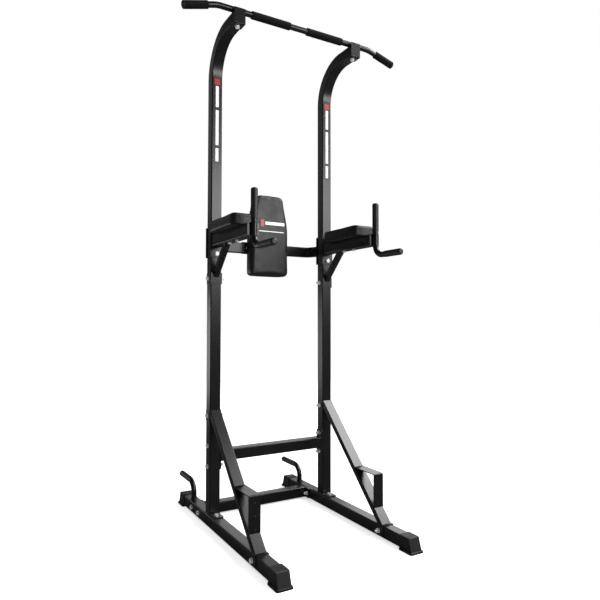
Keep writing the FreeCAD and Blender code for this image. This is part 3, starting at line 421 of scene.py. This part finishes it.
def makeBackPad():
    low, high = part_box("backrest_pad")
    shrink = backPad["shrink"] * mm
    half, front, top = high.x - shrink, low.y + shrink, high.z - shrink
    taper = low.z + backPad["taper"] * mm
    obj = addCube("padded_backrest", (0, (front + high.y) / 2, (low.z + high.z) / 2),
                  (2 * half, high.y - front, high.z - low.z - 2 * shrink))
    selectParts(obj, "FACE", lambda f: True)
    bpy.ops.mesh.bisect(plane_co=(0, 0, taper), plane_no=(0, 0, 1))
    selectParts(obj, "FACE", lambda f: f.calc_center_median().z > top - mm)
    narrow = (backPad["topHalf"] * mm - shrink) / half
    bpy.ops.transform.resize(value=(narrow, 1, 1))

    def isCorner(edge, atTaper):
        across = abs(edge.verts[0].co.y - edge.verts[1].co.y) > longEdge
        return across and (abs(edge.verts[0].co.z - taper) < 5 * mm) == atTaper

    bevelEdges(obj, backPad["corner"] * mm, 8, lambda e: isCorner(e, False))
    bevelEdges(obj, backPad["taperRound"] * mm, 4, lambda e: isCorner(e, True))
    bevelEdges(obj, backPad["edge"] * mm, 5,
               lambda e: all(v.co.y < front + mm for v in e.verts) and len(e.link_faces) == 2 and
               abs(e.link_faces[0].normal.y - e.link_faces[1].normal.y) > 0.5)
    inflate(obj, backPad, lambda co: co.y > high.y - backPad["held"] * mm)
    finishPad(obj, "backrest_pad")
    return obj


armPads = {side: makeArmPad(side) for side in sideSigns}
backCushion = makeBackPad()
print("pads ready")


def evenly(points, count):
    # the same closed outline as count points at equal spacing
    result = []
    loop = points + points[:1]
    lengths = [(b - a).length for a, b in zip(loop, loop[1:])]
    for index in range(count):
        along = sum(lengths) * index / count
        for length, a, b in zip(lengths, loop, loop[1:]):
            if along <= length:
                result.append(a.lerp(b, along / max(length, 1e-9)))
                break
            along -= length
    return result


def roundedOutline(corners, radii, steps=8):
    # a closed outline whose corners are rounded, as 2D points
    points = []
    for index, (corner, radius) in enumerate(zip(corners, radii)):
        before, after = corners[index - 1], corners[(index + 1) % len(corners)]
        start = corner + (before - corner).normalized() * radius
        end = corner + (after - corner).normalized() * radius
        for step in range(steps + 1):
            turn = step / steps
            points.append(start.lerp(corner, turn).lerp(corner.lerp(end, turn), turn))
    return points


def tubeThrough(name, points, radius):
    # a tube laid through a closed row of points
    curve = bpy.data.curves.new(name, "CURVE")
    curve.dimensions = "3D"
    curve.bevel_depth = radius
    curve.bevel_resolution = 2
    spline = curve.splines.new("POLY")
    spline.points.add(len(points) - 1)
    for item, point in zip(spline.points, points):
        item.co = (*point, 1.0)
    spline.use_cyclic_u = True
    obj = bpy.data.objects.new(name, curve)
    bpy.context.scene.collection.objects.link(obj)
    makeActive(obj)
    bpy.ops.object.convert(target="MESH")
    return bpy.context.object


seam = {"welt": 1.3, "sink": 0.5, "points": 120, "belowEdge": 5, "stitchOffset": 4.5,
        "stitchPitch": 5.5, "stitchLength": 3.4, "stitchRadius": 0.45, "stitchRounding": 0.6,
        "stitchLift": 0.1}


def makeStitch():
    deselectAll()
    bpy.ops.mesh.primitive_cylinder_add(vertices=8, radius=seam["stitchRadius"] * mm,
                                        depth=seam["stitchLength"] * mm)
    obj = bpy.context.object
    end = seam["stitchLength"] / 2 * mm
    bevelEdges(obj, seam["stitchRadius"] * seam["stitchRounding"] * mm, 2,
               lambda e: all(abs(abs(v.co.z) - end) < 0.01 * mm for v in e.verts))
    return obj


def addSeam(pad, name, guide, offset):
    # a welted seam round the pad's side, with a row of stitches beside it
    onPad = [pad.closest_point_on_mesh(point)[1:3] for point in guide]
    centres = [place - normal * seam["sink"] * mm for place, normal in onPad]
    welt = tubeThrough(f"{name}_welt", centres, seam["welt"] * mm)
    finishPiece(welt, vinyl, 60)
    row = [point + offset for point in guide]
    length = sum((b - a).length for a, b in zip(row, row[1:] + row[:1]))
    places = evenly(row, int(length / (seam["stitchPitch"] * mm)))
    stitch = makeStitch()
    copies = []
    for place, following in zip(places, places[1:] + places[:1]):
        middle, normal = pad.closest_point_on_mesh(place)[1:3]
        along = (following - place).normalized()
        copy = stitch.copy()
        copy.data = stitch.data.copy()
        copy.matrix_world = (Matrix.Translation(middle + normal * seam["stitchLift"] * mm) @
                             along.to_track_quat("Z", "Y").to_matrix().to_4x4())
        bpy.context.scene.collection.objects.link(copy)
        copies.append(copy)
    bpy.data.objects.remove(stitch)
    makeActive(copies[0])
    for copy in copies:
        copy.select_set(True)
    bpy.ops.object.join()
    row = bpy.context.object
    row.name = f"{name}_stitches"
    finishPiece(row, thread, 40)


def armSeam(side):
    low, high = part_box(f"armrest_pad_{side}")
    corners = [Vector((high.x, high.y)), Vector((low.x, high.y)), Vector((low.x, low.y)),
               Vector((high.x, low.y))]
    outline = evenly(roundedOutline(corners, [armPad["corner"] * mm] * 4), seam["points"])
    height = high.z - (armPad["edge"] + seam["belowEdge"]) * mm
    addSeam(armPads[side], f"armrest_seam_{side}", [Vector((p.x, p.y, height)) for p in outline],
            Vector((0, 0, -seam["stitchOffset"] * mm)))


def backSeam():
    low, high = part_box("backrest_pad")
    taper, topHalf = low.z + backPad["taper"] * mm, backPad["topHalf"] * mm
    corners = [Vector((high.x, low.z)), Vector((high.x, taper)), Vector((topHalf, high.z)),
               Vector((-topHalf, high.z)), Vector((-high.x, taper)), Vector((-high.x, low.z))]
    radii = [backPad["corner"] * mm] * 6
    outline = evenly(roundedOutline(corners, radii), seam["points"])
    depth = low.y + (backPad["edge"] + seam["belowEdge"]) * mm
    addSeam(backCushion, "backrest_seam", [Vector((p.x, depth, p.y)) for p in outline],
            Vector((0, seam["stitchOffset"] * mm, 0)))


for side in sideSigns:
    armSeam(side)
backSeam()
print("seams ready")


# millimetres, apart from the wave's size in metres and the droop in degrees; the bend is
# where the bar's ends turn down, and the outer sleeves start and end measured from it
foam = {"bore": 12.7, "rounding": 2.2, "ring": 8, "unevenness": 0.5, "wave": 0.03,
        "droop": 16, "bendX": 386, "outerStart": 43, "outerEnd": 147.3}


def foamSleeve(name, node, start, end, radius):
    # a moulded sleeve with soft ends, pulled over the bar
    axis = end - start
    half = axis.length / 2
    deselectAll()
    bpy.ops.mesh.primitive_cylinder_add(vertices=48, radius=radius, depth=axis.length)
    obj = bpy.context.object
    obj.name = name
    selectParts(obj, "FACE", lambda f: abs(f.calc_center_median().z) > half - touching)
    bpy.ops.mesh.inset(thickness=radius - foam["bore"] * mm, use_individual=True)
    bpy.ops.mesh.bridge_edge_loops()
    bevelEdges(obj, foam["rounding"] * mm, 5,
               lambda e: all(abs(v.co.z) > half - touching and
                             abs(v.co.xy.length - radius) < touching for v in e.verts))
    count = int(axis.length / (foam["ring"] * mm))
    for step in range(1, count):
        selectParts(obj, "FACE", lambda f: True)
        cut = -half + axis.length * step / count
        bpy.ops.mesh.bisect(plane_co=(0, 0, cut), plane_no=(0, 0, 1))
    bpy.ops.object.mode_set(mode="OBJECT")
    cloud = bpy.data.textures.new(f"{name}_wave", "CLOUDS")
    cloud.noise_scale = foam["wave"]
    wave = obj.modifiers.new("Displace", "DISPLACE")
    wave.texture = cloud
    wave.strength = foam["unevenness"] * mm
    wave.texture_coords = "LOCAL"
    applyModifiers(obj)
    obj.matrix_world = (Matrix.Translation((start + end) / 2) @
                        axis.to_track_quat("Z", "Y").to_matrix().to_4x4())
    finishPiece(obj, foamSkin, 40)
    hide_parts(node)


innerLow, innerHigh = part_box("inner_bar_grip_right")
foamRadius = (innerHigh.z - innerLow.z) / 2
barAxis = Vector((0, (innerLow.y + innerHigh.y) / 2, (innerLow.z + innerHigh.z) / 2))
for side, sign in sideSigns.items():
    innerStart, innerEnd = (barAxis + Vector((sign * x, 0, 0)) for x in (innerLow.x, innerHigh.x))
    foamSleeve(f"foam_inner_grip_{side}", f"inner_bar_grip_{side}", innerStart, innerEnd,
               foamRadius)
    tilt = math.radians(foam["droop"])
    slope = Vector((sign * math.cos(tilt), 0, -math.sin(tilt)))
    bend = barAxis + Vector((sign * foam["bendX"] * mm, 0, 0))
    outerStart, outerEnd = (bend + slope * foam[end] * mm for end in ("outerStart", "outerEnd"))
    foamSleeve(f"foam_outer_grip_{side}", f"outer_bar_grip_{side}", outerStart, outerEnd,
               foamRadius)
print("foam sleeves ready")


# millimetres, apart from the ripple's size in metres and the count of points round a bead
weld = {"radius": 2.0, "corner": 5, "ripple": 0.9, "rippleSize": 0.004, "points": 160,
        "plate": 5, "tubeHalf": 25, "handleRing": 13, "pushRing": 13.2, "pushRingBack": 15.5,
        "pushRingHigh": 3}


def weldBead(name, outline):
    # a rippled bead laid round a joint
    bead = tubeThrough(name, outline, weld["radius"] * mm)
    cloud = bpy.data.textures.new(f"{name}_ripple", "CLOUDS")
    cloud.noise_scale = weld["rippleSize"]
    ripple = bead.modifiers.new("Displace", "DISPLACE")
    ripple.texture = cloud
    ripple.strength = weld["ripple"] * mm
    finishPiece(bead, weldPaint, 60)


def rectangleBead(name, centre, first, second):
    # round a square tube: first and second are its half widths as vectors
    corners = [Vector((1, 1)), Vector((-1, 1)), Vector((-1, -1)), Vector((1, -1))]
    flat = [Vector((c.x * first.length, c.y * second.length)) for c in corners]
    points = evenly(roundedOutline(flat, [weld["corner"] * mm] * 4), weld["points"])
    weldBead(name, [centre + first.normalized() * p.x + second.normalized() * p.y for p in points])


def ringBead(name, centre, radius):
    turns = [2 * math.pi * step / weld["points"] for step in range(weld["points"])]
    weldBead(name, [centre + Vector((math.cos(t), math.sin(t), 0)) * radius for t in turns])


def middleOf(node):
    low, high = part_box(node)
    return (low + high) / 2, (high - low) / 2


beamMiddle, beamHalf = middleOf("mid_crossbeam")
rearMiddle, rearHalf = middleOf("rear_cross_tube")
plateThick, tubeHalf = weld["plate"] * mm, weld["tubeHalf"] * mm
for side, sign in sideSigns.items():
    footMiddle = middleOf(f"lower_upright_{side}")[0]
    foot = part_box(f"lower_upright_{side}")[0].z + plateThick
    rectangleBead(f"weld_upright_foot_{side}", Vector((footMiddle.x, footMiddle.y, foot)),
                  Vector((tubeHalf, 0, 0)), Vector((0, tubeHalf, 0)))
    rectangleBead(f"weld_crossbeam_{side}",
                  Vector((sign * (beamHalf.x - plateThick), beamMiddle.y, beamMiddle.z)),
                  Vector((0, tubeHalf, 0)), Vector((0, 0, tubeHalf)))
    rectangleBead(f"weld_rear_tube_{side}",
                  Vector((sign * (rearHalf.x - plateThick), rearMiddle.y, rearMiddle.z)),
                  Vector((0, tubeHalf, 0)), Vector((0, 0, tubeHalf)))
    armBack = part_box(f"dip_arm_{side}")[1].y
    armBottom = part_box(f"armrest_board_{side}")[0].z - 2 * tubeHalf
    rectangleBead(f"weld_arm_plate_{side}",
                  Vector((footMiddle.x, armBack - plateThick, armBottom + tubeHalf)),
                  Vector((tubeHalf, 0, 0)), Vector((0, 0, tubeHalf)))
    gripY = middleOf(f"upright_grip_{side}")[0].y
    for level, height in (("under", armBottom), ("over", armBottom + 2 * tubeHalf)):
        ringBead(f"weld_handle_{level}_{side}", Vector((footMiddle.x, gripY, height)),
                 weld["handleRing"] * mm)
    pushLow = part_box(f"pushup_handle_{side}")[0]
    ringBead(f"weld_pushup_{side}",
             Vector((footMiddle.x, pushLow.y + weld["pushRingBack"] * mm,
                     pushLow.z + weld["pushRingHigh"] * mm)), weld["pushRing"] * mm)
print("welds ready")


strip = {"wide": 38, "thick": 0.3, "bottom": 1623, "top": 2014, "round": 3, "ink": 0.1,
         "inkRound": 2,
         # start from the strip's top, length, width and ink of each plain bar
         "bars": [(2, 28, 26, "red"), (36, 96, 14, "white"), (146, 160, 14, "white"),
                  (320, 60, 14, "white")]}


def flatBar(name, centre, size, radius, material):
    obj = addCube(name, centre, size)
    bevelEdges(obj, radius, 5, lambda e: abs(e.verts[0].co.y - e.verts[1].co.y) > 0.01 * mm)
    finishPiece(obj, material)


face = beamMiddle.y - tubeHalf
for side in sideSigns:
    x = middleOf(f"lower_upright_{side}")[0].x
    high = (strip["top"] - strip["bottom"]) * mm
    thick, ink = strip["thick"] * mm, strip["ink"] * mm
    flatBar(f"label_strip_{side}", (x, face - thick / 2, strip["bottom"] * mm + high / 2),
            (strip["wide"] * mm, thick, high), strip["round"] * mm, labelBlack)
    for index, (start, length, width, tint) in enumerate(strip["bars"]):
        z = (strip["top"] - start - length / 2) * mm
        flatBar(f"label_bar_{side}_{index}", (x, face - thick - ink / 2, z),
                (width * mm, ink, length * mm), strip["inkRound"] * mm, inks[tint])


# left, bottom, width, height and ink of each plain bar printed on the back pad; each starts
# flat before the pad's face and is then laid on it
emblem = {"bars": [(-52, 1367, 18, 34, "red"), (-28, 1377, 104, 15, "white"),
                   (-70, 1343, 142, 4, "white")],
          "cell": 3, "start": 12, "lift": 0.2, "thick": 0.2}


def emblemBar(name, left, bottom, wide, high, tint):
    # a printed bar laid on the curve of the pad's face
    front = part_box("backrest_pad")[0].y
    deselectAll()
    bpy.ops.mesh.primitive_grid_add(x_subdivisions=int(wide / emblem["cell"]) + 2,
                                    y_subdivisions=int(high / emblem["cell"]) + 2, size=1,
                                    rotation=(math.radians(90), 0, 0),
                                    location=((left + wide / 2) * mm, front - emblem["start"] * mm,
                                              (bottom + high / 2) * mm))
    obj = bpy.context.object
    obj.name = name
    obj.scale = (wide * mm, high * mm, 1)
    applyPlace(obj)
    wrap = obj.modifiers.new("Shrinkwrap", "SHRINKWRAP")
    wrap.target = backCushion
    wrap.wrap_method = "PROJECT"
    wrap.use_project_y = True
    wrap.use_positive_direction = True
    wrap.use_negative_direction = True
    wrap.offset = emblem["lift"] * mm
    thick = obj.modifiers.new("Solidify", "SOLIDIFY")
    thick.thickness = emblem["thick"] * mm
    finishPiece(obj, inks[tint])


for index, bar in enumerate(emblem["bars"]):
    emblemBar(f"emblem_bar_{index}", *bar)
print("labels ready")


studio = {"floorSize": 60, "floorGlow": 0.55, "reflectedFloor": 0.07, "skySeen": 1.0,
          "skyFill": 0.6, "skyReflected": 0.025}
# place, size and power of each softbox, and the point that it faces
softboxes = {"keyRight": ((2.9, -0.9, 3.9), (2.4, 2.2), 205, (0.3, -0.1, 0.4)),
             "front": ((1.6, -3.5, 2.25), (2.5, 1.1), 78, (0, 0.1, 1.5)),
             "rearLeft": ((-1.8, 3.5, 0.6), (1.4, 1.1), 9, (-0.1, 0.1, 0.6)),
             "rearLeftHigh": ((-1.8, 3.6, 3.0), (1.4, 2.0), 3, (0, 0.1, 1.6)),
             "rearRight": ((2.0, 4.5, 2.2), (1.8, 1.8), 15, (0, 0, 0.3)),
             "farRight": ((4.2, 3.7, 2.1), (2.2, 1.8), 36, (0.3, -0.3, 0.2))}


def addFloor():
    deselectAll()
    bpy.ops.mesh.primitive_plane_add(size=studio["floorSize"], location=(0, 0, 0))
    floor = bpy.context.object
    floor.name = "studio_floor"
    material, tree, shader, coords = newMaterial("white studio floor")
    # its reflection in the satin tubes is darker than the floor itself, as in a black-draped studio
    shader.inputs["Base Color"].default_value = hexColour("F4F4F4")
    shader.inputs["Roughness"].default_value = 0.9
    shader.inputs["Specular IOR Level"].default_value = 0.0
    shader.inputs["Emission Color"].default_value = hexColour("FFFFFF")
    shader.inputs["Emission Strength"].default_value = studio["floorGlow"]
    ray = addNode(tree, "ShaderNodeLightPath")
    dark = addNode(tree, "ShaderNodeBsdfDiffuse", values={"Color": grey(studio["reflectedFloor"])})
    mix = addNode(tree, "ShaderNodeMixShader", {"Fac": ray.outputs["Is Glossy Ray"],
                                                1: shader.outputs["BSDF"], 2: dark.outputs["BSDF"]})
    tree.links.new(mix.outputs["Shader"], tree.nodes["Material Output"].inputs["Surface"])
    paint(floor, material)


def addWorld():
    world = bpy.data.worlds.new("studio")
    world.use_nodes = True
    tree = world.node_tree
    background = tree.nodes["Background"]
    background.inputs["Color"].default_value = (1, 1, 1, 1)
    ray = addNode(tree, "ShaderNodeLightPath")
    glossy = addNode(tree, "ShaderNodeMapRange", {"Value": ray.outputs["Is Glossy Ray"]},
                     {"To Min": studio["skyFill"], "To Max": studio["skyReflected"]})
    seen = addNode(tree, "ShaderNodeMix", {"Factor": ray.outputs["Is Camera Ray"],
                                           "A": glossy.outputs["Result"]}, {"B": studio["skySeen"]})
    tree.links.new(seen.outputs["Result"], background.inputs["Strength"])
    bpy.context.scene.world = world


def addSoftbox(name, place, size, power, target):
    light = bpy.data.lights.new(name, "AREA")
    light.shape = "RECTANGLE"
    light.size, light.size_y = size
    light.energy = power
    obj = bpy.data.objects.new(name, light)
    obj.location = place
    obj.rotation_euler = (Vector(target) - Vector(place)).to_track_quat("-Z", "Y").to_euler()
    obj.visible_camera = False
    bpy.context.scene.collection.objects.link(obj)


view = {"place": (-1.21484, -2.23731, 0.92367), "turn": (91.96, -0.07, -30.1024), "lens": 33.311,
        "sensor": 36}


def addCamera():
    data = bpy.data.cameras.new("camera")
    data.lens = view["lens"]
    data.sensor_width = view["sensor"]
    camera = bpy.data.objects.new("camera", data)
    camera.location = view["place"]
    camera.rotation_euler = [math.radians(angle) for angle in view["turn"]]
    bpy.context.scene.collection.objects.link(camera)
    bpy.context.scene.camera = camera


addFloor()
addWorld()
for name, setting in softboxes.items():
    addSoftbox(name, *setting)
addCamera()
bpy.context.scene.view_settings.view_transform = "Standard"
print("studio ready")
